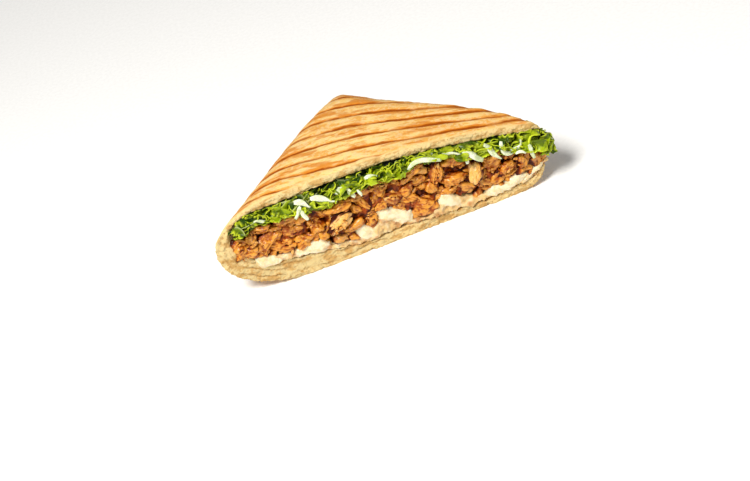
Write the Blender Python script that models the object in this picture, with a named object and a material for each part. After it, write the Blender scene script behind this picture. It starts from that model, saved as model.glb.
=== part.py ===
"""A toasted quesadilla, cut corner to corner into a triangular half.

One tortilla is folded into a square parcel round the filling, pressed in a ribbed grill and cut along its
diagonal. The cut face looks along -Y. Behind it the two folded legs meet at the back corner. From the bottom
up the filling is melted cheese, sauced chicken and shredded lettuce, and every layer runs through the food.

Metres, +Z up. The origin is under the middle of the parcel, on the surface it lies on: the cut plane is at
y = -DEPTH / 2 and the back corner at y = +DEPTH / 2.
"""

from math import cos, hypot, pi, sin, sqrt

import bmesh
import bpy
from mathutils import Vector, noise

MM = 0.001

# Driving dimensions of the whole half, in millimetres. Below, x runs along the cut and y back from it.
CUT_LENGTH = 168.5  # from folded corner to folded corner
DEPTH = 94.0  # from the cut to the rounded back corner
HEIGHT = 49.0  # at the crown, just behind the cut
BACK_CORNER_X = 1.5  # the parcel is folded a little out of square
BACK_HEIGHT_LOSS = 7.0  # how much lower the top is at the back corner
RIGHT_HEIGHT_LOSS = 15.0  # how much lower the top is at the open right corner

# Plan outline: legs bowed out a little, the back corner and the ends of the cut softened.
LEG_BOW = (0.5, 1.0)  # left, right
BACK_CORNER_SOFTNESS = 4.0
END_SOFTNESS = 3.0

# Folded edges: the level where each bulges furthest, and how far in its top and bottom roundings reach,
# first at the cut and then at the back.
LEFT_BULGE_LEVEL = (27.0, 25.0)
RIGHT_BULGE_LEVEL = (26.0, 18.0)
LEFT_TOP_ROUND = (26.0, 13.0)
LEFT_BOTTOM_ROUND = (32.0, 15.0)
RIGHT_TOP_ROUND = (2.0, 23.0)
RIGHT_BOTTOM_ROUND = (13.0, 16.0)
CUT_EDGE_ROUND = 3.0  # the soft edge where the knife pulled the top sheet down
CUT_EDGE_DROP = 2.0

# The tortilla's own thickness.
TOP_SHEET = 4.3
SIDE_WALL = (6.3, 7.0)  # at the cut, at the back
POCKET_LEVEL = (33.0, 20.0)  # where the pocket is widest, left and right
OPEN_CORNER = (7.0, 18.0)  # the right side is open in front of the first depth and shut behind the second
OPEN_CORNER_WALL = -3.0  # less than nothing, so that the pocket breaks out there
POCKET_ROUND = (12.0, 16.0)  # how far in the pocket's own top and bottom roundings reach where it is shut
POCKET_SLANT = 1.6  # straightens the bottom one, where the folds pile up
OPEN_POCKET_ROUND = 3.0

# Heights across the cut face, as (x, height): the bottom sheet with its overlapping flaps on the left, then
# where the melted cheese ends, then where the chicken ends.
SHEET_TOP = ((-66, 12), (-54, 13), (-41, 10.2), (-12, 5.0), (11, 6.0), (44, 3.2), (69, 5), (86, 15))
CHEESE_TOP = ((-72, 18.5), (-44, 15.8), (-18, 9.6), (3, 16), (17, 7.5), (27, 13.5), (49, 6.8), (68, 10), (82, 14))
CHICKEN_TOP = ((-76, 32), (-57, 38), (-25, 33.5), (-5, 38), (8, 35.5), (26, 37.5), (50, 30), (64, 26), (84, 18))

GAP = 0.3  # between neighbouring solids
EVEN_DEPTH = 5.0  # behind the cut face a layer keeps its height for this far
LETTUCE_OVERHANG = 3.5  # how far the layers' cut faces stand out, and how uneven they are
LETTUCE_FRILL = 3.0
CHICKEN_RELIEF = 2.6
CHEESE_RELIEF = 1.2
FILLING_BACK = 0.76  # how far back the filling reaches, as a share of the depth

HALF = CUT_LENGTH / 2
LEG_MEET_Y = DEPTH + 3.0  # where the legs' straight lines would meet, behind the rounded back corner


def clamp(value, low=0.0, high=1.0):
    return max(low, min(high, value))


def mix(a, b, share):
    return a + (b - a) * share


def smooth_step(low, high, value):
    t = clamp((value - low) / (high - low))
    return t * t * (3 - 2 * t)


def smooth_min(a, b, width):
    return 0.5 * (a + b - sqrt((a - b) ** 2 + width * width))


def quarter_round(t):
    """Height of a quarter circle of radius 1, at t from its foot."""
    return sqrt(max(0.0, 1 - (1 - clamp(t)) ** 2))


def along(points, x):
    """The height at x of a smooth line through a few (x, height) points."""
    if x <= points[0][0]:
        return points[0][1]
    for (x0, z0), (x1, z1) in zip(points, points[1:]):
        if x < x1:
            return mix(z0, z1, smooth_step(x0, x1, x))
    return points[-1][1]


def wave(x, y, size, seed):
    """Smooth unevenness between about -1 and 1, with bumps about size millimetres apart."""
    return 2 * noise.noise(Vector((x / size, y / size, seed)))


def leg_distances(x, y):
    """How far inside the left and the right folded leg a point of the plan lies."""
    found = []
    for side, bow in zip((-1, 1), LEG_BOW):
        run_x, run_y = BACK_CORNER_X - side * HALF, LEG_MEET_Y
        length = hypot(run_x, run_y)
        share = clamp(((x - side * HALF) * run_x + y * run_y) / length**2)
        straight = -side * ((x - side * HALF) * run_y - y * run_x) / length
        found.append(straight + bow * 4 * share * (1 - share))
    return found


def inside(x, y):
    """How far inside the softened plan outline a point lies."""
    left, right = leg_distances(x, y)
    near = smooth_min(left, right, BACK_CORNER_SOFTNESS)
    return smooth_min(near, HALF + 1 - abs(x), END_SOFTNESS)


def rightness(x, y):
    """0 at the left leg, 1 at the right leg."""
    left, right = (max(0.01, d) for d in leg_distances(x, y))
    return smooth_step(0.15, 0.85, left / (left + right))


def by_side(left, right, x, y):
    """A length that changes from the cut to the back along each leg, and from leg to leg."""
    back = smooth_step(0, 0.7 * DEPTH, y)
    return mix(mix(*left, back), mix(*right, back), rightness(x, y))


def openness(x, y):
    """1 at the open right corner of the cut, 0 where the parcel is folded shut."""
    return (1 - smooth_step(*OPEN_CORNER, y)) * smooth_step(0.5, 0.9, rightness(x, y)) * clamp(x / 40)


def crown(x, y):
    """Height of the top sheet away from the folded edges."""
    back = clamp(y / DEPTH)
    right = clamp(x / HALF) ** 1.5 * (1 - back)
    return HEIGHT - BACK_HEIGHT_LOSS * back**1.3 - RIGHT_HEIGHT_LOSS * right


def bulge_level(x, y):
    return by_side(LEFT_BULGE_LEVEL, RIGHT_BULGE_LEVEL, x, y)


def outer_top(x, y):
    level = bulge_level(x, y)
    reach = by_side(LEFT_TOP_ROUND, RIGHT_TOP_ROUND, x, y)
    return level + (crown(x, y) - level) * quarter_round(inside(x, y) / reach)


def outer_bottom(x, y):
    reach = by_side(LEFT_BOTTOM_ROUND, RIGHT_BOTTOM_ROUND, x, y)
    return bulge_level(x, y) * (1 - quarter_round(inside(x, y) / reach))


def pocket_inside(x, y):
    wall = mix(*SIDE_WALL, smooth_step(0, 0.4 * DEPTH, y))
    return inside(x, y) - mix(wall, OPEN_CORNER_WALL, openness(x, y))


def pocket_top(x, y):
    level = mix(*POCKET_LEVEL, rightness(x, y))
    reach = mix(POCKET_ROUND[0], OPEN_POCKET_ROUND, openness(x, y))
    return level + (crown(x, y) - TOP_SHEET - level) * quarter_round(pocket_inside(x, y) / reach)


def pocket_bottom(x, y):
    level = mix(*POCKET_LEVEL, rightness(x, y))
    reach = mix(POCKET_ROUND[1], OPEN_POCKET_ROUND, openness(x, y))
    return level + (along(SHEET_TOP, x) - level) * quarter_round(pocket_inside(x, y) / reach) ** POCKET_SLANT


def chicken_top(x, y):
    """The chicken's top sinks towards the back together with the crown."""
    return along(CHICKEN_TOP, x) + crown(x, y) - crown(x, 0)


def cheese_top(x, y):
    return mix(along(CHEESE_TOP, x), along(SHEET_TOP, x) + 5, smooth_step(0, 40, y))


def edge_x(side, y, wanted):
    """Where wanted(x) turns positive, found by halving, going in from one end of the cut."""
    out, into = side * (HALF + 4), BACK_CORNER_X * clamp(y / DEPTH)
    for _ in range(40):
        middle = (out + into) / 2
        if wanted(middle) > 0:
            into = middle
        else:
            out = middle
    return into


def back_stations(front, back, count):
    """Depths from front to back that crowd together towards the rounded back."""
    return [mix(front, back, sin(pi / 2 * i / count)) for i in range(count + 1)]


def add_object(name, work, colour=(1, 1, 1), roughness=1.0):
    """A named solid with its own plain material, set back so that the origin is under its middle."""
    bmesh.ops.recalc_face_normals(work, faces=work.faces)
    mesh = bpy.data.meshes.new(name)
    work.to_mesh(mesh)
    work.free()
    mesh.shade_smooth()
    mesh.set_sharp_from_angle(angle=0.6)
    material = bpy.data.materials.new(name)
    material.use_nodes = True
    shader = material.node_tree.nodes["Principled BSDF"]
    shader.inputs["Base Color"].default_value = (*colour, 1)
    shader.inputs["Roughness"].default_value = roughness
    mesh.materials.append(material)
    obj = bpy.data.objects.new(name, mesh)
    obj.location = (0, -DEPTH / 2 * MM, 0)
    bpy.context.scene.collection.objects.link(obj)
    return obj


def use_cutter(solid, cutter, operation):
    cutter.hide_render = True
    cutter.display_type = "WIRE"
    cut = solid.modifiers.new(cutter.name, "BOOLEAN")
    cut.operation = operation
    cut.object = cutter
    cut.solver = "EXACT"


def section(y, around, distance, top, bottom):
    """A closed outline in the plane at depth y, from its left edge over the top and back underneath."""
    left = edge_x(-1, y, lambda x: distance(x, y))
    right = edge_x(1, y, lambda x: distance(x, y))
    points = []
    for i in range(around):
        angle = 2 * pi * i / around
        x = (left + right) / 2 - (right - left) / 2 * cos(angle)
        points.append(Vector((x, (top if angle <= pi else bottom)(x, y))))
    return points


def shrunk(points, gap):
    """The same outline, moved inwards by the gap."""
    moved = []
    for i, point in enumerate(points):
        run = points[(i + 1) % len(points)] - points[i - 1]
        moved.append(point + Vector((run.y, -run.x)).normalized() * gap)
    return moved


def pillow(depths, outline):
    """A closed solid lofted through the outlines at the given depths, drawn to a point behind the last."""
    work = bmesh.new()
    rings = []
    for y in depths:
        rings.append([work.verts.new((p.x * MM, y * MM, p.y * MM)) for p in outline(max(y, 0.0))])
    around = len(rings[0])
    for near, far in zip(rings, rings[1:]):
        for i in range(around):
            j = (i + 1) % around
            work.faces.new((near[i], near[j], far[j]))
            work.faces.new((near[i], far[j], far[i]))
    work.faces.new(rings[0])
    last = sum((v.co for v in rings[-1]), Vector()) / around
    tip = work.verts.new(last + Vector((0, 0.4 * MM, 0)))
    for i in range(around):
        work.faces.new((rings[-1][i], rings[-1][(i + 1) % around], tip))
    return work


def pocket(name, front, gap):
    """The inside of the folded tortilla, shrunk by the gap."""
    stations = [front, 0, 4, 8, 12, *back_stations(17, DEPTH - SIDE_WALL[1] * 1.4, 7)]
    stations[-1] -= gap
    across = gap / 0.7  # the folded edges run at about 45 degrees to the sections
    return add_object(
        name,
        pillow(stations, lambda y: shrunk(section(y, 56, pocket_inside, pocket_top, pocket_bottom), across)),
    )


def tortilla():
    def pulled_top(x, y):
        return outer_top(x, y) - CUT_EDGE_DROP * (1 - quarter_round(y / CUT_EDGE_ROUND)) * clamp(inside(x, y) / 9)

    stations = [0, 0.6, *back_stations(CUT_EDGE_ROUND * 0.6, DEPTH - 0.4, 15)]
    shape = pillow(stations, lambda y: section(y, 72, inside, pulled_top, outer_bottom))
    folded = add_object("tortilla", shape, (0.86, 0.62, 0.32), 0.75)
    use_cutter(folded, pocket("pocket_cutter", -6, 0), "DIFFERENCE")


def slab(counts, floor, ceiling, forward):
    """A block wider than the food, between two uneven surfaces. forward says how far its face stands out."""
    work = bmesh.new()
    made = {}
    first = 1 / counts[1]

    def vertex(key):
        if key not in made:
            u, v, w = (k / n for k, n in zip(key, counts))
            x = mix(-HALF - 6, HALF + 6, u)
            y = mix(EVEN_DEPTH, FILLING_BACK * DEPTH, (v - first) / (1 - first)) if v else 0.0
            level = max(0.0, y - EVEN_DEPTH)
            z = mix(floor(x, level), ceiling(x, level), w)
            made[key] = work.verts.new((x * MM, (y - (forward(x, z) if v == 0 else 0)) * MM, z * MM))
        return made[key]

    for axis in range(3):
        a, b = (axis + 1) % 3, (axis + 2) % 3
        for end in (0, counts[axis]):
            for i in range(counts[a]):
                for j in range(counts[b]):
                    corners = []
                    for di, dj in ((0, 0), (1, 0), (1, 1), (0, 1)):
                        key = [0, 0, 0]
                        key[axis], key[a], key[b] = end, i + di, j + dj
                        corners.append(vertex(tuple(key)))
                    work.faces.new(corners)
    return work


def filling():
    """Three layers cut from slabs by one form, the pocket shrunk by the gap."""
    form = pocket("filling_form", -9, GAP)

    def frill(x, z):
        return LETTUCE_OVERHANG + LETTUCE_FRILL * (wave(x, z, 4.5, 1.7) + 0.5 * wave(x, z, 2.6, 5.0))

    def chunks(x, z):
        return CHICKEN_RELIEF * wave(x, z, 9.0, 6.3)

    def drips(x, z):
        return CHEESE_RELIEF * (0.4 + wave(x, z, 12.0, 2.2))

    layers = (
        ("lettuce", (56, 5, 4), lambda x, y: chicken_top(x, y) + GAP, lambda x, y: HEIGHT + 3, frill, (0.22, 0.5, 0.05)),
        ("chicken", (56, 5, 5), lambda x, y: cheese_top(x, y) + GAP, chicken_top, chunks, (0.55, 0.24, 0.06)),
        ("cheese", (56, 5, 2), lambda x, y: -3, cheese_top, drips, (0.88, 0.78, 0.55)),
    )
    for name, counts, floor, ceiling, forward, colour in layers:
        use_cutter(add_object(name, slab(counts, floor, ceiling, forward), colour, 0.45), form, "INTERSECT")


def main():
    for old in list(bpy.data.objects):
        bpy.data.objects.remove(old)
    tortilla()
    filling()


main()
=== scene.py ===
"""The looks of a toasted quesadilla, cut corner to corner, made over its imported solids.

Each operator makes one piece or one group of like pieces: the grilled tortilla, the shredded lettuce, the
sauced chicken, the melted and grated cheese, and the studio. x runs along the cut, y back from it and z up.
"""

from functools import partial
from math import cos, exp, pi, radians, sin, sqrt, tau
from random import Random

import bmesh
import bpy
from bpy.props import FloatProperty, FloatVectorProperty, IntProperty, PointerProperty
from mathutils import Matrix, Vector, noise
from mathutils.bvhtree import BVHTree


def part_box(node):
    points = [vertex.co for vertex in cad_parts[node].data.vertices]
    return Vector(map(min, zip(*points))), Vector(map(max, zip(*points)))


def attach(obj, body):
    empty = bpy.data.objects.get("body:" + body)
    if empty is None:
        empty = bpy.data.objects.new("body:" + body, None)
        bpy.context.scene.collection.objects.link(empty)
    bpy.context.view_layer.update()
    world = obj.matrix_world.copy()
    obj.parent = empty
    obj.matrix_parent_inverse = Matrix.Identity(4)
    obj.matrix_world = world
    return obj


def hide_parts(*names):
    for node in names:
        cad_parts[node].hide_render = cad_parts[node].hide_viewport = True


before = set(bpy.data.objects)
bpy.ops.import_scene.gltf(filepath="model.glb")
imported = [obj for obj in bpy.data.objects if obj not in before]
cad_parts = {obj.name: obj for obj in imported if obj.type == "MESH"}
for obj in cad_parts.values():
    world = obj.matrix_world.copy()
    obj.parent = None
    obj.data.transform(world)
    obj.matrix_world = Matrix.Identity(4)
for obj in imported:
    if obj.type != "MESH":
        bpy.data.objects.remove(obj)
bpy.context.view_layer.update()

bl_info = {
    "name": "Toasted quesadilla half",
    "version": (1, 0, 0),
    "blender": (4, 5, 0),
    "location": "3D View > Sidebar > Quesadilla",
    "description": "Makes the grilled tortilla, salad, chicken and cheese of a quesadilla over its solids",
    "category": "Add Mesh",
}

MM = 0.001
LEFT, RIGHT = Vector((-1, 0, 0)), Vector((1, 0, 0))
TO_THE_CUT, BACK = Vector((0, -1, 0)), Vector((0, 1, 0))
TO_THE_RIGHT = Matrix.Rotation(pi / 2, 3, "Z")  # turns what faces the front of the cut to its open end

LOW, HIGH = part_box("tortilla")
CUT_Y = LOW.y
OPEN_END = HIGH.x - 14 * MM  # beyond this x the filling is seen from the right as well
MIDDLE = Vector((0, CUT_Y * 0.5, HIGH.z * 0.46))  # a point well inside the pocket
ABOVE_FLOOR = 0.05 * MM  # keeps the underside just clear of the floor


# Numbers


def clamp(value, low=0.0, high=1.0):
    return max(low, min(high, value))


def mix(a, b, share):
    return a + (b - a) * share


def smooth_step(low, high, value):
    t = clamp((value - low) / (high - low))
    return t * t * (3 - 2 * t)


def near(distance, width):
    """1 at no distance, fading softly to nothing over about the width."""
    return exp(-((distance / width) ** 2))


def uneven(point, size, seed, detail=2):
    """Soft unevenness between about -1 and 1, its bumps about `size` apart."""
    shifted = point / size + Vector((seed * 17.3, seed * 5.1, seed * 9.7))
    return noise.fractal(shifted, 1.0, 2.0, detail)


def linear(colour):
    """An sRGB hex colour as the linear RGBA that shaders take."""
    parts = [int(colour[i : i + 2], 16) / 255 for i in (1, 3, 5)]
    return (*(c / 12.92 if c <= 0.04045 else ((c + 0.055) / 1.055) ** 2.4 for c in parts), 1.0)


# Meshes


def add_piece(name, mesh, material, replaced=()):
    """Links a finished mesh, with the given material, as a piece that rides on the body."""
    mesh.materials.clear()
    mesh.materials.append(material)
    mesh.shade_smooth()
    piece = bpy.data.objects.new(name, mesh)
    bpy.context.scene.collection.objects.link(piece)
    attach(piece, "root")
    if replaced:
        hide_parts(*replaced)


def set_values(mesh, name, values):
    """Stores one number for each vertex, for the material to read."""
    mesh.attributes.new(name, "FLOAT", "POINT").data.foreach_set("value", values)


def move_vertices(mesh, points):
    mesh.vertices.foreach_set("co", [c for point in points for c in point])
    mesh.update()


def rework(mesh, change, *sources):
    """Changes a mesh by change(work), where work is its bmesh, made from the sources if there are any."""
    work = bmesh.new()
    for source in sources or (mesh,):
        work.from_mesh(source)
    change(work)
    work.to_mesh(mesh)
    work.free()
    return mesh


def remeshed(mesh, size):
    """An evenly meshed copy of closed shapes, melted into one, in squares of about the given size."""
    holder = bpy.data.objects.new("holder", mesh)
    bpy.context.scene.collection.objects.link(holder)
    remesh = holder.modifiers.new("remesh", "REMESH")
    remesh.mode = "VOXEL"
    remesh.voxel_size = size
    bpy.context.view_layer.update()
    even = bpy.data.meshes.new_from_object(holder.evaluated_get(bpy.context.evaluated_depsgraph_get()))
    bpy.data.objects.remove(holder)
    return even


def solid(node):
    """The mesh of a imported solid, which is only read."""
    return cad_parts[node].data


def face_tree(mesh, keep=lambda centre, normal: True):
    """The faces of a mesh that are kept, ready for asking what lies nearest or in the way."""
    faces = [tuple(f.vertices) for f in mesh.polygons if keep(f.center, f.normal)]
    return BVHTree.FromPolygons([v.co for v in mesh.vertices], faces)


def cut_place(along, up):
    """The point of the cut at these percents of the tortilla's length and height."""
    return Vector((mix(LOW.x, HIGH.x, along / 100), CUT_Y, mix(LOW.z, HIGH.z, up / 100)))


def looks_out(point, normal):
    """Whether a bit of the tortilla's surface faces away from the pocket."""
    return (point - MIDDLE).dot(normal) > 0


class CutBand:
    """The band that a solid shows at the cut: its lowest and highest point and its face, at any x."""

    STEP = 0.5 * MM
    CLEAR = 10 * MM  # how far outside the solid a ray starts

    def __init__(self, node):
        self.tree = face_tree(solid(node))
        self.cover = face_tree(solid("tortilla"))
        self.low, self.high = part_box(node)
        steps = int((self.high.x - self.low.x) / self.STEP)
        measured = [self.measure(self.low.x + i * self.STEP) for i in range(steps)]
        self.first = next(i for i, span in enumerate(measured) if span)
        self.spans = [span for span in measured if span]

    def face_y(self, x, z):
        """How far forward the solid stands at a point of the cut, or None beside it."""
        hit = self.tree.ray_cast(Vector((x, self.low.y - self.CLEAR, z)), BACK, 3 * self.CLEAR)[0]
        return hit.y if hit else None

    def end_point(self, y, z):
        """Where the solid is seen from the right, past the end of the tortilla, or None where it isn't."""
        start = Vector((self.high.x + self.CLEAR, y, z))
        hit, covered = (tree.ray_cast(start, LEFT, 4 * self.CLEAR) for tree in (self.tree, self.cover))
        return hit[0] if hit[0] and not (covered[0] and covered[3] < hit[3]) else None

    def end_points(self, rng, count):
        """Places strewn over what is seen from the right."""
        found = []
        for _ in range(count):
            y = rng.uniform(CUT_Y, CUT_Y + 14 * MM)
            place = self.end_point(y, rng.uniform(self.low.z, self.high.z))
            found += [place] if place else []
        return found

    def measure(self, x):
        """The lowest and highest z at x, or None beside the solid."""
        count = int((self.high.z - self.low.z) / self.STEP)
        found = [self.low.z + i * self.STEP for i in range(count + 1)]
        found = [z for z in found if self.face_y(x, z) is not None]
        return (found[0], found[-1]) if found else None

    def span(self, x):
        """The lowest and highest z at x, or at the nearest end of the band."""
        step = round((x - self.low.x) / self.STEP) - self.first
        return self.spans[int(clamp(step, 0, len(self.spans) - 1))]


class Pile:
    """Collects many small closed shapes and joins them into one mesh, with named values at the vertices."""

    def __init__(self):
        self.points, self.faces, self.values = [], [], {}

    def add(self, points, faces, **values):
        start = len(self.points)
        self.points.extend(points)
        self.faces.extend([tuple(start + i for i in face) for face in faces])
        for name, value in values.items():
            many = value if isinstance(value, list) else [value] * len(points)
            self.values.setdefault(name, []).extend(many)

    def mesh(self, name):
        mesh = bpy.data.meshes.new(name)
        mesh.from_pydata(self.points, [], self.faces)
        mesh.update()
        for value_name, values in self.values.items():
            set_values(mesh, value_name, values)
        return mesh


def grid_sheet(rows, thickness):
    """A closed thin sheet round a grid of points, half as thick at its edges."""
    last_u, last_v = len(rows) - 1, len(rows[0]) - 1
    top, under = [], []
    for i, row in enumerate(rows):
        for j, point in enumerate(row):
            along = rows[min(i + 1, last_u)][j] - rows[max(i - 1, 0)][j]
            across = row[min(j + 1, last_v)] - row[max(j - 1, 0)]
            edge = i in (0, last_u) or j in (0, last_v)
            half = along.cross(across).normalized() * (thickness * (0.25 if edge else 0.5))
            top.append(point + half)
            under.append(point - half)
    wide, below = last_v + 1, len(top)
    faces = []
    for i in range(last_u):
        for j in range(last_v):
            a = i * wide + j
            square = (a, a + wide, a + wide + 1, a + 1)
            faces += [square, tuple(below + k for k in reversed(square))]
    rim = [*range(wide)]
    rim += [i * wide + last_v for i in range(1, last_u + 1)]
    rim += [last_u * wide + j for j in range(last_v - 1, -1, -1)]
    rim += [i * wide for i in range(last_u - 1, 0, -1)]
    faces += [(a, b, below + b, below + a) for a, b in zip(rim, rim[1:] + rim[:1])]
    return top + under, faces


def rod(path, section):
    """A closed rod: the (side, up) points of section(share) swept along a path."""
    last, points, faces = len(path) - 1, [], []
    for i, centre in enumerate(path):
        run = (path[min(i + 1, last)] - path[max(i - 1, 0)]).normalized()
        side = run.cross(BACK).normalized()
        up = side.cross(run)
        points += [centre + side * a + up * b for a, b in section(i / last)]
    around = len(points) // len(path)
    for i in range(last):
        for j in range(around):
            a, b = i * around + j, i * around + (j + 1) % around
            faces.append((a, b, b + around, a + around))
    faces += [tuple(range(around - 1, -1, -1)), tuple(last * around + j for j in range(around))]
    return points, faces


def round_form(subdivisions):
    """The points and faces of a sphere of radius 1, made of even triangles."""
    ball = rework(
        bpy.data.meshes.new("ball"),
        lambda work: bmesh.ops.create_icosphere(work, subdivisions=subdivisions, radius=1),
    )
    return [v.co.copy() for v in ball.vertices], [tuple(f.vertices) for f in ball.polygons]


# Materials


def per_size(size_mm):
    """The scale of a noise texture whose patches are about size_mm across."""
    return 0.5 / (size_mm * MM)


def fill(tree, node, inputs):
    """Sets a node's inputs to numbers and colours, or links them to other nodes' outputs."""
    for key, value in inputs.items():
        if isinstance(value, bpy.types.NodeSocket):
            tree.links.new(value, node.inputs[key])
        else:
            node.inputs[key].default_value = value


def add(tree, kind, inputs, output=0, **settings):
    """Adds a node, sets its properties, fills or links its inputs, and gives the named output."""
    made = tree.nodes.new("ShaderNode" + kind)
    for name, value in settings.items():
        setattr(made, name, value)
    fill(tree, made, inputs)
    return made.outputs[output]


def new_material(name, *stored):
    """A fresh material, its node tree, the place on the object, and values stored at the vertices."""
    material = bpy.data.materials.new(name)
    material.use_nodes = True
    tree = material.node_tree
    values = [add(tree, "Attribute", {}, "Fac", attribute_name=value) for value in stored]
    return material, tree, add(tree, "TexCoord", {}, "Object"), *values


def finished(material, **sockets):
    """The material, its shader given a finish: each socket a number or colour, or a node's output."""
    tree = material.node_tree
    fill(tree, tree.nodes["Principled BSDF"], {name.replace("_", " "): sockets[name] for name in sockets})
    return material


def lay_over(tree, base, *layers):
    """Lays colours over a base. A layer is a value, where it starts and is full, its share and its tint."""
    for value, start, full, most, tint in layers:
        limits = {0: value, 1: start, 2: full, 3: 0, 4: most}
        share = add(tree, "MapRange", limits, interpolation_type="SMOOTHSTEP")
        base = add(tree, "Mix", {0: share, 6: base, 7: tint}, 2, data_type="RGBA")
    return base


def grilled_tortilla(settings):
    """Wheat tortilla, rolled thin and pressed in a ribbed grill.

    The press gives a dry, golden crust with burnt stripes where the ribs touched and streaks of browning
    between them. The folded sides stay pale and floury, and the cut shows the open crumb, with painted shade
    in the lines between its folded layers.
    """
    material, tree, place, pressed, across, spread, crumb, fold = new_material(
        "wheat_tortilla_grilled", "pressed", "across", "spread", "crumb", "fold"
    )
    with_ribs = add(tree, "CombineXYZ", {0: add(tree, "SeparateXYZ", {0: place}, "X"), 1: across})
    long_way = add(tree, "Mapping", {0: with_ribs, 3: (0.35, 1, 1)})
    lengthways = add(tree, "Mapping", {0: place, 3: (0.5, 1, 1)})
    clouds, mottle, patches, fine, specks, streaks = (
        add(tree, "TexNoise", {"Vector": at, "Scale": per_size(mm), "Detail": detail, "Roughness": rough})
        for at, mm, detail, rough in (
            (place, 22, 2, 0.5),
            (long_way, 2.2, 4, 0.6),
            (long_way, 4, 3, 0.6),
            (place, 1.2, 3, 0.7),
            (place, 0.8, 2, 0.6),
            (lengthways, 1.8, 3, 0.6),
        )
    )
    to_rib = add(tree, "Math", {0: across, 1: settings.rib_pitch / 2}, operation="PINGPONG")
    to_rib = add(tree, "Math", {0: to_rib, 1: spread}, operation="DIVIDE")
    frayed = add(tree, "Math", {0: mottle, 1: 4 * MM, 2: to_rib}, operation="MULTIPLY_ADD")
    strong, halo, line = (
        add(tree, "MapRange", dict(enumerate(limits)), interpolation_type="SMOOTHSTEP")
        for limits in (
            (patches, 0.42, 0.58, 0.45),
            (frayed, 4.6 * MM, 2.2 * MM),
            (frayed, 3.2 * MM, 2.2 * MM),
        )
    )
    halo, line = (add(tree, "Math", {0: mark, 1: strong}, operation="MULTIPLY") for mark in (halo, line))
    crust = lay_over(
        tree,
        settings.pale,
        (clouds, 0.42, 0.58, 0.5, settings.golden),
        (mottle, 0.47, 0.55, 0.9, settings.golden),
        (fine, 0.50, 0.56, 0.6, settings.blush),
        (patches, 0.52, 0.60, 0.75, settings.orange),
        (halo, 0.1, 0.6, 0.9, settings.orange),
        (halo, 0.55, 1, 0.8, settings.brown),
        (line, 0, 0.7, 0.9, settings.burnt),
    )
    warm, toasted = (fine, 0.42, 0.60, 0.8, settings.dough_warm), (mottle, 0.56, 0.70, 0.35, settings.golden)
    inside = lay_over(
        tree,
        settings.crumb,
        (clouds, 0.44, 0.58, 0.5, settings.dough),
        (streaks, 0.47, 0.58, 0.7, settings.crumb_warm),
        (specks, 0.56, 0.68, 0.5, settings.crumb_speck),
        # painted shade: the lines between the folded layers are darkened
        (fold, 0, 1, 0.65, settings.fold_shade),
    )
    skin = lay_over(tree, settings.dough, warm, toasted, (pressed, 0.05, 0.7, 1, crust))
    relief = add(tree, "Bump", {"Height": specks, "Distance": 0.4 * MM, "Strength": 0.7})
    return finished(
        material, Base_Color=lay_over(tree, skin, (crumb, 0, 1, 1, inside)), Normal=relief, IOR=1.45,
        Roughness=add(tree, "MapRange", {0: pressed, 1: 0, 2: 1, 3: 0.85, 4: 0.55}), Specular_IOR_Level=0.12,
        Subsurface_Weight=0.08, Subsurface_Scale=1.0 * MM, Subsurface_Radius=(1, 0.55, 0.25),
    )


def lettuce_leaf(settings):
    """Cos lettuce, shredded: thin and wet, with a waxy shine. Lime at its edges and on the front shreds is
    painted light, and the deep green of the shreds further back is painted shade.
    """
    material, tree, place, tone, edge, rib = new_material("cos_lettuce_leaf", "tone", "edge", "rib")
    clouds = add(tree, "TexNoise", {"Vector": place, "Scale": per_size(3), "Detail": 3})
    veins = add(tree, "TexNoise", {"Vector": place, "Scale": per_size(0.9), "Detail": 3})
    # painted shade: deep green on the shreds further back; painted light: lime on the edges and front shreds
    green = lay_over(
        tree,
        settings.deep,
        (tone, 0, 0.8, 1, settings.bright),
        (clouds, 0.46, 0.56, 0.75, settings.deep),
        (edge, 0.6, 1, 0.7, settings.lime),
        (tone, 0.7, 1, 0.5, settings.lime),
        (rib, 0, 1, 1, settings.rib),
    )
    relief = add(tree, "Bump", {"Height": veins, "Distance": 0.25 * MM, "Strength": 0.5})
    return finished(
        material, Base_Color=green, Normal=relief, Roughness=0.36, IOR=1.42, Specular_IOR_Level=0.3,
        Subsurface_Weight=0.2, Subsurface_Scale=0.6 * MM, Subsurface_Radius=(0.6, 1, 0.2),
    )


def lettuce_shade(settings):
    """The same lettuce deeper in the pocket, where little light comes: nearly black-green."""
    material, tree, place = new_material("cos_lettuce_inner")
    clouds = add(tree, "TexNoise", {"Vector": place, "Scale": per_size(2.5), "Detail": 3})
    shade = lay_over(tree, settings.shade, (clouds, 0.45, 0.7, 0.6, settings.deep))
    return finished(material, Base_Color=shade, Roughness=0.6)


def grated_cheese(settings):
    """Mozzarella, cold and coarsely grated: milky white strips with a slight sheen and torn, matt sides."""
    material, tree, place = new_material("mozzarella_grated")
    clouds = add(tree, "TexNoise", {"Vector": place, "Scale": per_size(2), "Detail": 2})
    torn = add(tree, "TexNoise", {"Vector": place, "Scale": per_size(0.6), "Detail": 2})
    milk = lay_over(tree, settings.grated, (clouds, 0.42, 0.6, 0.8, settings.grated_shade))
    relief = add(tree, "Bump", {"Height": torn, "Distance": 0.15 * MM, "Strength": 0.5})
    return finished(
        material, Base_Color=milk, Normal=relief, Roughness=0.38, IOR=1.45,
        Subsurface_Weight=0.4, Subsurface_Scale=1.5 * MM, Subsurface_Radius=(1, 0.8, 0.5),
    )


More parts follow.
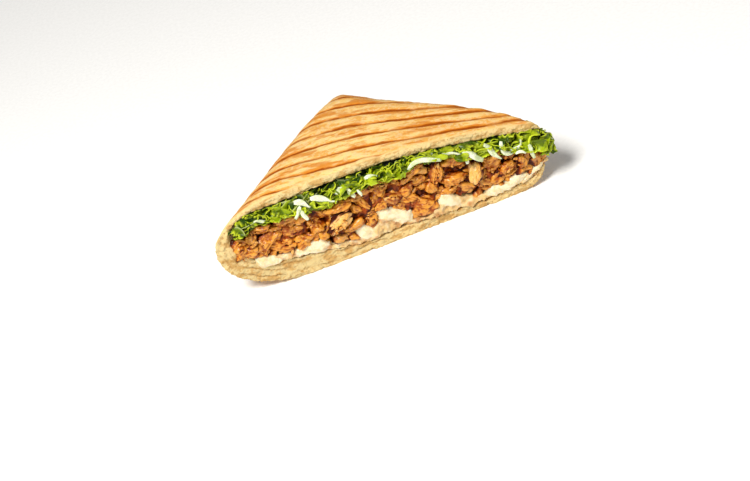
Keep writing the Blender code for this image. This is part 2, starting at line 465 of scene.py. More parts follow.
def melted_cheese(settings):
    """Mozzarella, melted and set: smooth cream-white pools with a soft shine, tan where sauce ran in."""
    material, tree, place, stain = new_material("mozzarella_melted", "stain")
    clouds = add(tree, "TexNoise", {"Vector": place, "Scale": per_size(4), "Detail": 2})
    fine = add(tree, "TexNoise", {"Vector": place, "Scale": per_size(1.6), "Detail": 3, "Roughness": 0.6})
    tan = lay_over(tree, settings.tan, (clouds, 0.48, 0.62, 0.8, settings.tan_brown))
    cream = (fine, 0.45, 0.62, 0.8, settings.melted_cream)
    relief = add(tree, "Bump", {"Height": fine, "Distance": 0.3 * MM, "Strength": 0.4})
    return finished(
        material, Base_Color=lay_over(tree, settings.melted, cream, (stain, 0.15, 0.9, 1, tan)),
        Roughness=add(tree, "MapRange", {0: stain, 1: 0, 2: 1, 3: 0.3, 4: 0.5}), Normal=relief, IOR=1.45,
        Subsurface_Weight=0.35, Subsurface_Scale=1.5 * MM, Subsurface_Radius=(1, 0.7, 0.4),
    )


def sauced_chicken(settings):
    """Chicken thigh, seared and turned in a sticky sauce.

    The sear gives golden-brown ridges along the fibres, and the dark, glossy sauce gathers between them. The
    colour also holds a painted highlight on the high parts and painted shade, as dark as the sauce, where a
    piece turns away from the view.
    """
    material, tree, place, tone, ridge = new_material("chicken_thigh_sauced", "tone", "ridge")
    fine = add(tree, "TexNoise", {"Vector": place, "Scale": per_size(0.9), "Detail": 4, "Roughness": 0.65})
    clouds = add(tree, "TexNoise", {"Vector": place, "Scale": per_size(3.5), "Detail": 3, "Roughness": 0.6})
    # painted highlight: light tint on high relief; the sear, brown and sauce tints on low relief are partly
    # painted shade
    meat = lay_over(
        tree,
        settings.sear,
        (tone, 0.0, 0.45, 1, settings.golden),
        (clouds, 0.47, 0.60, 0.65, settings.sear),
        (tone, 0.6, 0.95, 0.9, settings.pale),
        (fine, 0.50, 0.60, 0.35, settings.light),
        (ridge, 0.6, 1.05, 0.8, settings.light),
        (fine, 0.45, 0.38, 0.35, settings.brown),
        (ridge, 0.72, 0.42, 0.7, settings.sear),
        (ridge, 0.52, 0.22, 0.9, settings.brown),
        (ridge, 0.3, 0.0, 1, settings.sauce),
    )
    relief = add(tree, "Bump", {"Height": fine, "Distance": 0.3 * MM, "Strength": 0.5})
    return finished(
        material, Base_Color=meat, Normal=relief, IOR=1.45, Specular_IOR_Level=0.2, Coat_Roughness=0.2,
        Roughness=add(tree, "MapRange", {0: fine, 1: 0.3, 2: 0.7, 3: 0.25, 4: 0.45}),
        Coat_Weight=add(tree, "MapRange", {0: ridge, 1: 0.2, 2: 0.9, 3: 0, 4: 0.45}),
        Subsurface_Weight=0.05, Subsurface_Scale=1.0 * MM,
    )


def studio_paper(settings):
    """Seamless background paper: matt, even and nearly white."""
    material, tree, place = new_material("background_paper")
    grain = add(tree, "TexNoise", {"Vector": place, "Scale": per_size(1), "Detail": 2})
    paper = lay_over(tree, settings.paper, (grain, 0.3, 0.7, 1, settings.paper_shade))
    return finished(material, Base_Color=paper, Roughness=0.9)


# Settings that a user would change

ANGLE = {"subtype": "ANGLE", "unit": "ROTATION"}
POWER = {"subtype": "POWER", "unit": "POWER"}


def number(name, description, default, **more):
    return FloatProperty(name=name, description=description, default=default, **more)


def length(name, description, mm, most_mm=200.0):
    limits = {"min": 0.05 * MM, "max": most_mm * MM, "precision": 4}
    return number(name, description, mm * MM, subtype="DISTANCE", unit="LENGTH", **limits)


def count(name, description, default, least, most):
    return IntProperty(name=name, description=description, default=default, min=least, max=most)


def colour(name, description, default):
    limits = {"size": 4, "min": 0, "max": 1, "subtype": "COLOR"}
    return FloatVectorProperty(name=name, description=description, default=linear(default), **limits)


class TortillaSettings(bpy.types.PropertyGroup):
    mesh_size: length("Mesh size", "Size of the even squares of the tortilla's mesh", 0.9)
    sheet: length("Sheet", "Thickness of one layer of the folded tortilla", 3.0)
    rib_pitch: length("Rib spacing", "Distance between the grill's ribs at the middle", 11.85)
    rib_first: length("First rib", "Distance of the first rib from the cut at the middle", 1.9)
    rib_slant: length("Rib slant", "How much nearer to the cut a rib lies 40 mm further right", 8.4)
    rib_fan: length("Rib fan", "How much more the ribs slant at the back corner", 14.2)
    rib_curve: length("Rib curve", "How far forward the rearmost ribs curve at their ends", 28.2)
    rib_straighten: length("Rib straightening", "How much the curve eases towards the cut", 3.6)
    rib_depth: length("Rib depth", "How deep the ribs pressed into the crust", 0.5)
    pale: colour("Crust, pale", "Lightly toasted crust", "#EECE86")
    golden: colour("Crust, golden", "Evenly toasted crust", "#E0A04A")
    blush: colour("Crust, blush", "Dry flour on the crust", "#EACA94")
    orange: colour("Crust, orange", "Streaks between the ribs", "#CE7A20")
    brown: colour("Crust, brown", "Beside a rib", "#BC6814")
    burnt: colour("Crust, burnt", "Under a rib", "#944400")
    dough: colour("Dough, pale", "Folded side, floury", "#E2C488")
    dough_warm: colour("Dough, warm", "Folded side, warmer patches", "#DEB272")
    crumb: colour("Crumb, pale", "Cut edge", "#CCB682")
    crumb_warm: colour("Crumb, warm", "Cut edge, warmer patches", "#B48644")
    crumb_speck: colour("Crumb, speck", "Specks in the cut edge", "#9A6A30")
    # painted shade in the lines between the folded layers
    fold_shade: colour("Fold line", "Between two layers of the folded sheet", "#B08248")


class LettuceSettings(bpy.types.PropertyGroup):
    leaves: count("Leaves", "Number of leaf shreds", 200, 10, 400)
    end_tries: count("End leaves", "Places tried for leaves at the open end", 90, 0, 400)
    leaf_length: length("Leaf length", "Length of a middling shred", 13)
    leaf_width: length("Leaf width", "Width of a middling shred", 6)
    thickness: length("Leaf thickness", "Thickness of a leaf", 0.45)
    lime: colour("Leaf, lime", "Thin edges with light behind them", "#D0DC2C")
    bright: colour("Leaf, bright", "Outer leaf", "#98AA08")
    # also the painted shade on the shreds further back
    deep: colour("Leaf, deep", "Folded leaf", "#264202")
    rib: colour("Leaf, rib", "Pale ribs of the leaf", "#ECF2A2")
    shade: colour("Inner leaf", "Leaf deep in the pocket", "#0C1402")


class CheeseSettings(bpy.types.PropertyGroup):
    strip_width: length("Strip width", "Width of a grated strip", 2.2)
    strip_height: length("Strip height", "Height of a grated strip", 1.0)
    mesh_size: length("Mesh size", "Size of the even squares of the melted cheese's mesh", 0.7)
    grated: colour("Grated, white", "Cold grated cheese", "#E2E8CC")
    grated_shade: colour("Grated, shade", "Thinner parts of a strip", "#BCC894")
    melted: colour("Melted, white", "Thick melted cheese", "#E6DAB8")
    melted_cream: colour("Melted, cream", "Thinner melted cheese", "#D8C08C")
    tan: colour("Stain, tan", "Cheese mixed with sauce", "#D8B478")
    tan_brown: colour("Stain, brown", "Cheese under sauce", "#A8682A")


class ChickenSettings(bpy.types.PropertyGroup):
    rows: count("Rows", "Rows of smaller pieces at the cut", 4, 1, 6)
    piece_length: length("Piece length", "Length of a middling small piece", 8)
    piece_scale: number("Piece scale", "Size of the large pieces against their table", 1.15)
    end_tries: count("End pieces", "Places tried for pieces at the open end", 60, 0, 400)
    crumbs: count("Crumbs", "Number of crumbs of meat on the pieces", 110, 0, 600)
    pale: colour("Meat, pale", "Meat that took no sauce", "#EEC880")
    light: colour("Meat, light", "Highlights on the sear", "#E29C38")
    golden: colour("Meat, golden", "Seared meat", "#A65A08")
    brown: colour("Meat, brown", "Well browned meat", "#6C2800")
    sear: colour("Sear, orange", "Sauce dried on", "#964006")
    # sauce in the cracks, and painted shade where a piece turns away from the view
    sauce: colour("Sauce", "Sauce in the gaps", "#3E0E00")


class StageSettings(bpy.types.PropertyGroup):
    elevation: number("Elevation", "Camera above the horizon", radians(34.4), **ANGLE)
    roll: number("Roll", "Camera turned about its view", radians(-21.0), **ANGLE)
    distance: length("Distance", "Camera from the point it looks at", 870, most_mm=5000)
    lens: number("Lens", "Focal length", 89.3, subtype="DISTANCE_CAMERA", unit="CAMERA")
    key: number("Key light", "Power of the key light", 15, **POWER)
    fill: number("Fill light", "Power of the fill light", 1.3, **POWER)
    sky: number("Sky", "Strength of the even light from all round", 0.27, min=0, max=5)
    paper: colour("Paper", "Background paper", "#FFFFFF")
    paper_shade: colour("Paper grain", "Background paper's grain", "#FAFAFA")


# Tortilla


def rib_place(point, settings):
    """How far a point lies across the ribs from the first one, and how closely the ribs run there.

    The ribs slant to the cut towards the right. They fan out and curve more at the back, where it is domed.
    """
    step, depth = 40 * MM, HIGH.y - CUT_Y
    right, back = point.x / step, (point.y - CUT_Y) / depth
    slant = settings.rib_slant + settings.rib_fan * back
    curve = settings.rib_curve * back - settings.rib_straighten
    across = point.y - CUT_Y - settings.rib_first + slant * right + curve * right**2
    over_x = (slant + 2 * curve * right) / step
    over_y = 1 + (settings.rib_fan * right + settings.rib_curve * right**2) / depth
    wander = 0.9 * MM * uneven(point, 15 * MM, 14)
    return across + wander, sqrt(over_x**2 + over_y**2)


def press_share(point, normal):
    """How firmly the grill pressed a point of the outside: fully on top and below, not at the edges."""
    behind = point.y - CUT_Y
    rim = mix(6.0, 3.0, clamp((point.x - LOW.x) / (70 * MM))) * MM
    press = smooth_step(0.5, 0.8, abs(normal.z))
    press *= smooth_step(0.2 * rim, rim, behind + 2.2 * MM * uneven(point, 9 * MM, 2))
    return press * smooth_step(LOW.x + 6 * MM, LOW.x + 26 * MM, point.x + 5 * MM * uneven(point, 9 * MM, 13))


def torn_edge(point, out, depth):
    """How far the cut tore up or down at a point: ragged inside, nibbled along the underside."""
    behind = point.y - CUT_Y
    along = Vector((point.x, 0, 0))
    torn = 0.0
    if not out or depth > 2.5 * MM:
        ragged = 0.7 * uneven(along, 6 * MM, 8) + 0.5 * uneven(along, 2 * MM, 10)
        torn = ragged * MM * smooth_step(3 * MM, 0, behind)
    if out and point.z < 6 * MM:
        nibbled = max(0.0, uneven(along, 5 * MM, 15) + 0.6 * uneven(point, 1.5 * MM, 16))
        torn += 1.6 * MM * nibbled * smooth_step(2.5 * MM, 0, behind) * smooth_step(6 * MM, 0, point.z)
    return torn


def shape_tortilla(mesh, settings):
    """Presses the ribs into the crust, roughens the cut, and opens the lines between folded layers."""
    skin = face_tree(solid("tortilla"), lambda centre, normal: normal.y > -0.9 and looks_out(centre, normal))
    moved = []
    values = {name: [] for name in ("pressed", "crumb", "fold", "across", "spread")}
    for vertex in mesh.vertices:
        point, normal = vertex.co, vertex.normal
        behind = point.y - CUT_Y
        across, spread = rib_place(point, settings)
        out = looks_out(point, normal)
        at_cut = smooth_step(1.6 * MM, 0.5 * MM, behind) * smooth_step(0.15, 0.75, -normal.y)
        press = press_share(point, normal) if out else 0.0
        share = across / settings.rib_pitch
        rib = press * near((share - round(share)) * settings.rib_pitch / spread, 1.0 * MM)
        shift = normal * (0.20 * uneven(point, 13 * MM, 1) + 0.12 * uneven(point, 3 * MM, 3)) * MM
        shift -= normal * rib * settings.rib_depth
        if out and at_cut < 0.5:
            side = 1 - smooth_step(0.5, 0.9, abs(normal.z))
            crease = uneven(Vector((point.x * 0.25, point.y * 0.25, point.z)), 3.5 * MM, 6)
            shift += normal * side * 0.55 * MM * crease
        line = 0.0
        if behind < 3 * MM:
            depth = skin.find_nearest(point)[3]
            layers = (depth + 1.1 * MM * uneven(point, 8 * MM, 5)) / settings.sheet
            if layers > 0.5:
                layered = smooth_step(32 * MM, 24 * MM, point.z)
                kept = smooth_step(-0.25, 0.2, uneven(point, 14 * MM, 9))
                line = near(layers - round(layers), 0.11) * at_cut * layered * kept
            wrinkle = uneven(Vector((point.x * 0.5, 0, depth * 1.2)), 2.2 * MM, 4, 3)
            crumpled = 0.7 * wrinkle + 0.45 * uneven(point, 1.3 * MM, 7, 3)
            shift.y += (0.8 * line - 0.9 * at_cut * crumpled) * MM
            shift.z += torn_edge(point, out, depth)
        spot = point + shift
        spot.z = max(spot.z, ABOVE_FLOOR)
        moved.append(spot)
        for name, value in zip(values, (press, max(at_cut, 0.0 if out else 1.0), line, across, spread)):
            values[name].append(value)
    move_vertices(mesh, moved)
    for name, many in values.items():
        set_values(mesh, name, many)


def refine_cut(work):
    """Halves the squares at the cut face, where the crumb and the fold lines need them."""
    edges = [e for e in work.edges if all(v.co.y < CUT_Y + 1.8 * MM for v in e.verts)]
    bmesh.ops.subdivide_edges(work, edges=edges, cuts=1, use_grid_fill=True)


class QUESADILLA_OT_tortilla(bpy.types.Operator):
    """Make the grilled tortilla, folded round the filling and cut"""

    bl_idname = "quesadilla.tortilla"
    bl_label = "Tortilla"

    def execute(self, context):
        settings = context.scene.quesadilla_tortilla
        mesh = rework(remeshed(solid("tortilla").copy(), settings.mesh_size), refine_cut)
        shape_tortilla(mesh, settings)
        add_piece("tortilla_crust", mesh, grilled_tortilla(settings), ["tortilla"])
        return {"FINISHED"}


# Lettuce


def sunk_core(node, size, sink, roughness, seed):
    """A solid's copy, smaller and with its cut face sunk and broken up, to stand behind the real things."""
    mesh = remeshed(solid(node).copy(), size)
    low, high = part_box(node)
    reach = 14 * MM  # how far from the cut and from the ends the shift fades out
    moved = []
    for vertex in mesh.vertices:
        point = vertex.co
        front = smooth_step(CUT_Y + reach, CUT_Y, point.y)
        shift = -vertex.normal * 0.5 * MM
        shift.y += front * (sink + roughness * uneven(point, 4 * MM, seed, 4))
        shift.x += front * sink * smooth_step(low.x + reach, low.x, point.x)
        shift.x -= front * max(sink, 2.5 * MM) * smooth_step(high.x - reach, high.x, point.x)
        moved.append(point + shift)
    move_vertices(mesh, moved)
    return mesh


def leaf_points(rng, leaf_length, leaf_width, ruffles):
    """Points for one shred of leaf in the xz plane, curled and frilled, and how far across it each one is."""
    curl = rng.uniform(-1.1, 1.1)
    bend = rng.uniform(-0.5, 0.5)
    phases = [rng.uniform(0, tau) for _ in range(3)]
    frill = leaf_width * rng.uniform(0.2, 0.38)
    count_u, count_v = 26, 7
    across = [j / (count_v - 1) for j in range(count_v)]
    rows = []
    for i in range(count_u):
        u = i / (count_u - 1)
        taper = 0.35 + 0.65 * sin(pi * clamp(u * 0.9 + 0.05)) ** 0.6
        turns = u * ruffles
        row = []
        for v in across:
            wave = sin(turns * tau + phases[0]) + 0.5 * sin(turns * 2.3 * tau + phases[1])
            edge = v**1.6
            x = (u - 0.5) * leaf_length + 0.10 * leaf_length * edge * sin(turns * tau + phases[2])
            y = frill * wave * edge + curl * leaf_width * (v - 0.3) ** 2
            z = (v - 0.5) * leaf_width * taper + bend * leaf_length * (u - 0.5) ** 2
            z += 0.14 * leaf_width * edge * sin(turns * 3.1 * tau + phases[1])
            row.append(Vector((x, y, z)))
        rows.append(row)
    return rows, across * count_u


def add_leaf(pile, settings, rng, centre, size, slim, tone, facing, hold):
    """Adds one shred of leaf at a place, facing the cut or turned from it, each point held in by hold()."""
    width = settings.leaf_width * size * rng.uniform(0.7, 1.2) * slim
    rows, across = leaf_points(rng, settings.leaf_length * size, width, rng.uniform(1.1, 2.6))
    turn = facing @ Matrix.Rotation(rng.gauss(0, 0.6) + (pi if rng.random() < 0.6 else 0), 3, "Y")
    tip = Matrix.Rotation(rng.gauss(0.25, 0.6), 3, "X") @ Matrix.Rotation(rng.gauss(0, 0.5), 3, "Z")
    placed = [[hold(centre + turn @ (tip @ point)) for point in row] for row in rows]
    points, faces = grid_sheet(placed, settings.thickness)
    ribs = [0.6 * near(v - 0.05, 0.10) for v in across] if rng.random() < 0.2 else [0.0] * len(across)
    pile.add(points, faces, tone=tone, edge=across * 2, rib=ribs * 2)


def held_at_cut(spot, band, face):
    """Keeps a point of a leaf near the lettuce's face, clear of the left wall and within the band."""
    spot.y = max(spot.y, min(face, CUT_Y) - 3 * MM, band.low.y - 1.5 * MM)
    narrowing = max(0.0, spot.y - CUT_Y)
    spot.x = clamp(spot.x, band.low.x - 0.5 * MM + narrowing, band.high.x + 0.5 * MM)
    proud = max(0.0, CUT_Y - spot.y)
    bottom, top = band.span(spot.x)
    lowest = bottom + (1.8 * uneven(spot, 5 * MM, 17) - 0.5) * MM + 0.5 * proud
    spot.z = max(spot.z, mix(lowest, spot.z, 0.25))
    spot.z = min(spot.z, top + min(0.6 * MM + 0.3 * proud, 1.0 * MM))
    return spot


def held_at_end(spot, band, place):
    """Keeps a point of a leaf near its place at the open end."""
    spot.x = min(spot.x, place.x + 2.5 * MM, band.high.x + 0.5 * MM)
    spot.z = clamp(spot.z, place.z - 5 * MM, max(place.z, band.span(spot.x)[1]))
    return spot


def scatter_leaves(settings, band, rng):
    """Shreds of leaf in three depths, from the shade to the frills that hang out, and at the open end."""
    pile = Pile()
    left, right = band.low.x + 3 * MM, band.high.x - 3 * MM
    for index in range(settings.leaves):
        depth = index % 3
        x = clamp(mix(left, right, (index + rng.uniform(-1.5, 1.5)) / settings.leaves), left, right)
        low, high = band.span(x)
        z = mix(low + 0.5 * MM, high - 1.0 * MM, rng.random() ** (0.7, 0.9, 1.3)[depth])
        face = band.face_y(x, z)
        if face is None:
            continue
        size = rng.uniform(0.55, 1.25) * (0.8 + 0.15 * depth)
        size *= smooth_step(left - 12 * MM, left + 18 * MM, x)
        centre = Vector((x, face + (4.2, 2.4, 0.7)[depth] * MM + rng.uniform(-1, 1) * MM, z))
        # painted shade: tone is lower for the shreds further back and towards the left; the rest differs at
        # random
        tone = (0.0, 0.3, 0.65)[depth] + rng.uniform(-0.25, 0.3) + mix(-0.25, 0.1, index / settings.leaves)
        slim = 0.35 if index % 4 == 3 else 1.0
        hold = partial(held_at_cut, band=band, face=face)
        add_leaf(pile, settings, rng, centre, size, slim, clamp(tone), Matrix.Identity(3), hold)
    for place in band.end_points(rng, settings.end_tries):
        centre, hold = place + LEFT * 1.5 * MM, partial(held_at_end, band=band, place=place)
        size, tone = rng.uniform(0.5, 0.8), rng.uniform(0.2, 0.8)
        add_leaf(pile, settings, rng, centre, size, 1.0, tone, TO_THE_RIGHT, hold)
    return pile.mesh("lettuce_leaves")


class QUESADILLA_OT_lettuce(bpy.types.Operator):
    """Make the shredded lettuce over a smaller, darker core"""

    bl_idname = "quesadilla.lettuce"
    bl_label = "Lettuce"

    def execute(self, context):
        settings = context.scene.quesadilla_lettuce
        core = sunk_core("lettuce", 1.5 * MM, 7.0 * MM, 1.5 * MM, 11)
        add_piece("lettuce_core", core, lettuce_shade(settings), ["lettuce"])
        leaves = scatter_leaves(settings, CutBand("lettuce"), Random(21))
        add_piece("lettuce_leaves", leaves, lettuce_leaf(settings))
        return {"FINISHED"}


# Chicken

FORMS = {detail: round_form(detail) for detail in (3, 4, 5)}

# The pieces that stand out: their places along and up the cut in percent, length and girth in mm, tilt in
# degrees, and how light the meat is.
BIG_PIECES = (
    (6.6, 49, 6, 5, 40, 0.5), (7.2, 59, 8, 8, 10, 0.25), (10.2, 50, 7, 6, -25, 0.45),
    (11.1, 64, 7, 7, 0, 0.7), (14.8, 71, 11, 5.5, -5, 0.2), (15.1, 52, 12, 8, 25, 0.6),
    (19, 64, 5, 9, 80, 0.25), (19.3, 39, 8, 3.5, -15, 0.65), (22.3, 53, 8, 8, -10, 0.65),
    (22.3, 70, 13, 4.5, -8, 0.5), (25.9, 41, 10, 7, 15, 0.3), (26.8, 66, 9, 6, 5, 0.55),
    (29.9, 51, 8, 10, 60, 0.4), (32, 40, 7, 6, 30, 0.35), (35.3, 28, 8, 5, -12, 0.75),
    (35.6, 64, 16, 7.5, 5, 0.4), (37.4, 49, 15, 6.5, 20, 1), (39.8, 36, 11, 6, 12, 0.1),
    (41.9, 68, 4, 8, 80, 0.1), (42.2, 52, 8, 6, -60, 0.15), (44.9, 57, 12, 5, -58, 0.3),
    (45.9, 36, 6, 8, 75, 0.7), (48.9, 46, 8, 5, 30, 0.35), (51, 65, 12, 11.5, 10, 0.4),
    (52.5, 51, 10, 6, -30, 0.2), (55.5, 44, 8, 5, -35, 0.3), (56.1, 72, 8, 6, 60, 0.5),
    (57.9, 53, 9, 6, 20, 0.05), (58.8, 42, 10, 5, -40, 0.35), (59.7, 69, 15, 6.5, 28, 0.6),
    (61, 28, 12, 9, -10, 0.15), (62.2, 57, 9, 6, 15, 0.35), (64.6, 45, 7, 6, -60, 0.5),
    (67.3, 59, 13, 6.5, 68, 0.6), (68.2, 34, 9, 4, -30, 0.3), (71.2, 46, 14, 6.5, -15, 0.6),
    (73, 65, 15, 7, -12, 0.25), (74.2, 32, 9, 6, -20, 0.7), (76.7, 65, 8, 6, -30, 0.15),
    (78.3, 48, 13, 6.5, 78, 1), (80.3, 29, 9, 5.5, -50, 0.65), (83.6, 51, 12, 12, 0, 0.5),
    (84.2, 28, 8, 5.5, 5, 0.5), (88.1, 36, 9, 6.5, -5, 0.05), (89.3, 48, 7, 5, -15, 0.35),
    (92.1, 27, 8, 5, 15, 0.1), (92.7, 41, 9, 9, -60, 0.55), (96, 31, 8, 5, -65, 0.7),
)


def chicken_piece(rng, size, tilt, plain, detail, seen):
    """One torn or chopped bit of thigh: a rounded block with cracks, crumbs and ridges along its fibres.

    A plain piece, one that took no sauce, is smoother. Returns its points and faces, and for each point how
    far it stands out, lowered where it turns away from the side it is seen from, which is painted shade:
    below 0 it is sauce and painted shade, and near 1 it is seared and gets a painted highlight.
    """
    points, faces = FORMS[detail]
    seed, taper, bend = rng.uniform(0, 50), rng.uniform(-0.3, 0.3), rng.uniform(-0.2, 0.2)
    cuts = []
    for _ in range(14):
        normal = Vector((rng.gauss(0, 1), rng.gauss(0, 1), rng.gauss(0, 1))).normalized()
        cuts.append((normal, rng.uniform(0.72, 1)))
    roll = Matrix.Rotation(rng.uniform(0, tau), 3, "X")
    turn = Matrix.Rotation(-tilt, 3, "Y") @ Matrix.Rotation(rng.gauss(0, 0.2), 3, "Z")
    placed, ridges = [], []
    for point in points:
        reach = (sum(max(0.0, point.dot(normal) / out) ** 9 for normal, out in cuts) + 0.25) ** (-1 / 9)
        lumps = uneven(point, 0.7, seed, 2)
        fibre = uneven(Vector((point.x * 0.45, point.y * 2, point.z * 2)), 0.5, seed + 7, 2)
        swell = reach * (1.0 + 0.2 * lumps + 0.14 * fibre)
        thick = 1 + taper * point.x
        turned = roll @ point
        spot = Vector((turned.x * size.x, turned.y * size.y * thick, turned.z * size.z * thick)) * swell
        cracks = exp(-abs(uneven(spot, 4.5 * MM, seed + 3, 1)) * 12) * (1 - 0.7 * plain)
        crumbs = uneven(spot, 1.1 * MM, seed + 9, 2) * (1 - 0.5 * plain)
        spot += turned * (0.14 * crumbs - 0.4 * cracks) * MM
        spot.z += bend * size.x * (point.x**2 - 0.3)
        placed.append(turn @ spot)
        # painted shade: the value falls where the surface turns away from the view, darkening each piece's
        # outline
        in_front = smooth_step(-0.1, 0.8, seen.dot(turn @ turned))
        relief = 0.3 * lumps + 0.35 * fibre - 0.45 * cracks + 0.2 * crumbs
        ridges.append(0.95 + relief - 1.2 * (1 - in_front))
    return placed, faces, ridges


def place_chicken(pile, rng, middle, long, girth, tilt, tone, proud, seen=None):
    """Puts one piece at a place, standing proud by a share of its girth towards where it is seen from."""
    seen = seen or (TO_THE_CUT if middle.x < OPEN_END else (TO_THE_CUT + RIGHT).normalized())
    size = Vector((long / 2, girth * 0.5 * rng.uniform(0.85, 1.1), girth / 2))
    detail = 5 if girth > 7.4 * MM else 4 if girth > 4.2 * MM else 3
    points, faces, ridges = chicken_piece(rng, size, tilt, smooth_step(0.7, 1, tone), detail, seen)
    centre = middle - seen * (0.5 - proud) * girth
    pile.add([centre + p for p in points], faces, tone=tone, ridge=ridges)


def large_chicken(settings, rng):
    """The pieces that stand out, each a little proud of the cut."""
    pile = Pile()
    for along, up, long, girth, tilt, tone in BIG_PIECES:
        proud = rng.uniform(0.14, 0.44) + 0.25 * smooth_step(0.7, 1, tone)
        size = settings.piece_scale * MM
        place_chicken(pile, rng, cut_place(along, up), long * size, girth * size, radians(tilt), tone, proud)
    return pile.mesh("chicken_pieces")


def small_chicken(settings, band, rng, large):
    """Small pieces in uneven rows that fill the gaps, more at the open end, and crumbs on the large ones."""
    pile = Pile()
    for row in range(settings.rows):
        x = band.low.x + rng.uniform(3, 6) * MM
        while x < band.high.x - 4 * MM:
            long = settings.piece_length * rng.uniform(0.6, 1.3)
            girth = long * rng.uniform(0.5, 0.75)
            share = clamp((row + 0.5 + rng.uniform(-0.35, 0.35)) / settings.rows)
            low, high = band.span(x)
            middle = Vector((x, CUT_Y, mix(low - 1.5 * MM, high - 0.5 * girth, share)))
            place_chicken(pile, rng, middle, long, girth, rng.gauss(0.1, 0.6), rng.betavariate(2, 3), 0.12)
            x += long * rng.uniform(0.55, 0.85)
    for place in band.end_points(rng, settings.end_tries):
        long = settings.piece_length * rng.uniform(0.5, 0.9)
        tilt, tone = rng.gauss(0, 0.6), rng.betavariate(2, 3)
        place_chicken(pile, rng, place, long, 0.6 * long, tilt, tone, 0.35, RIGHT)
    for _ in range(settings.crumbs):
        x = rng.uniform(band.low.x + 3 * MM, band.high.x - 3 * MM)
        low, high = band.span(x)
        start = Vector((x, CUT_Y - 20 * MM, rng.uniform(low - 2 * MM, high - 1 * MM)))
        place = large.ray_cast(start, BACK, 30 * MM)[0]
        if place:
            long = rng.uniform(1.6, 3.4) * MM
            tilt, tone = rng.gauss(0.2, 0.9), rng.betavariate(2, 2)
            place_chicken(pile, rng, place, long, 0.6 * long, tilt, tone, 0.6)
    return pile.mesh("chicken_bits")


class QUESADILLA_OT_chicken(bpy.types.Operator):
    """Make the pieces of sauced chicken over a core of the same meat"""

    bl_idname = "quesadilla.chicken"
    bl_label = "Chicken"

    def execute(self, context):
        settings = context.scene.quesadilla_chicken
        meat = sauced_chicken(settings)
        core = sunk_core("chicken", 1.0 * MM, 1.0 * MM, 1.8 * MM, 12)
        set_values(core, "tone", [0.1] * len(core.vertices))
        places = [v.co for v in core.vertices]
        # painted shade, partly sauce: the core's values are kept low so it shows dark between the pieces
        ridges = [0.25 + 0.6 * uneven(p, 2 * MM, 18, 3) + 0.35 * (p.x > OPEN_END) for p in places]
        set_values(core, "ridge", ridges)
        add_piece("chicken_core", core, meat, ["chicken"])
        large = large_chicken(settings, Random(5))
        small = small_chicken(settings, CutBand("chicken"), Random(6), face_tree(large))
        add_piece("chicken_pieces", large, meat)
        add_piece("chicken_bits", small, meat)
        return {"FINISHED"}


# Cheese

# Strips that show in the lettuce: their places along and up the cut in percent, length in mm, angle in
# degrees, how far each one bows, and how wide it is for its kind.
STRIPS = (
    (15.7, 84, 6, -20, 0.1, 0.7), (28.6, 85, 8, -35, 0.05, 1.5), (26.8, 80, 7, 50, 0.05, 1),
    (34.7, 84, 13, -28, 0.04, 1.45), (28, 75, 6, -78, 0.06, 1), (40.1, 85, 5, 40, 0.05, 1.7),
    (42.5, 79, 7, -72, 0.08, 1.2), (44.9, 78, 4, -80, 0.1, 0.7), (49.5, 90, 6, -5, 0.08, 1),
    (64.9, 80, 16, -2, 0.24, 1.05), (72.4, 78, 13, -14, 0.06, 0.95), (78.5, 77, 12, -42, 0.06, 1.4),
    (77, 71, 7, 70, 0.05, 1), (84.2, 71, 12, -58, 0.04, 1.25), (88.7, 64, 9, -62, -0.3, 1.1),
    (91.4, 61, 7, 32, -0.25, 0.85), (94.8, 50, 8, -82, 0.08, 0.95), (91.8, 54, 5, -20, 0.1, 0.7),
)

# Pools of melted cheese in front of the chicken: their places along and up the cut in percent, half length
# and half height in mm, and tilt in degrees.
POOLS = (
    (12, 34, 4.4, 3.8, -40), (14.5, 30, 4, 2.2, -20), (27.1, 29, 7.5, 3.2, -8), (42.5, 25, 3.8, 4.3, 20),
    (49.5, 38, 4, 3.4, -30), (51.9, 32, 5, 3.6, -45), (54.9, 25, 4.5, 3.8, -20), (68.2, 25, 6, 3.2, -36),
    (82.7, 16, 6.5, 2.9, 5), (88.1, 18, 6, 2.8, 14), (94.8, 22, 4.5, 1.4, 35),
)


def strip_path(start, run, bow, kink):
    """An arc from start along run, bowed in the plane of the cut by a share of its length, with a kink."""
    side = Vector((-run.z, 0, run.x))
    shares = [i / 13 for i in range(14)]
    return [start + run * t + side * (bow * 4 * t * (1 - t) + 0.06 * sin(5 * t + kink)) for t in shares]


def strip_section(share, corners, twirl):
    """The cross section at a share of a strip's length: drawn out towards its ends, and twisted."""
    taper = sin(pi * mix(0.1, 0.9, share)) ** 0.5
    twist = 0.9 * sin(4 * share + twirl)
    c, s = cos(twist), sin(twist)
    return [((a * c - b * s) * taper, (a * s + b * c) * taper) for a, b in corners]


def grated_strips(settings, band, rng):
    """Strips caught in the lettuce, most of them lying along the cut."""
    pile = Pile()
    for along, up, long, angle, bow, wide in STRIPS:
        middle = cut_place(along, up)
        face = band.face_y(middle.x, middle.z)
        middle.y = (CUT_Y if face is None else face) - rng.uniform(1.6, 3.0) * MM
        run = Vector((cos(radians(angle)), rng.uniform(-0.15, 0.1), sin(radians(angle)))) * long * MM
        path = strip_path(middle - run / 2, run, bow, rng.uniform(0, tau))
        too_high = max(spot.z - band.span(spot.x)[1] for spot in path)
        path = [spot - Vector((0, 0, max(0.0, too_high))) for spot in path]
        half_width, half_height = settings.strip_width / 2 * wide, settings.strip_height / 2
        twirl = rng.uniform(0, tau)
        around = [(1.25 * cos(tau * i / 12), 1.25 * sin(tau * i / 12)) for i in range(12)]
        corners = [(half_width * clamp(a, -1, 1), half_height * clamp(b, -1, 1)) for a, b in around]
        pile.add(*rod(path, partial(strip_section, corners=corners, twirl=twirl)))
    return pile.mesh("grated_cheese")


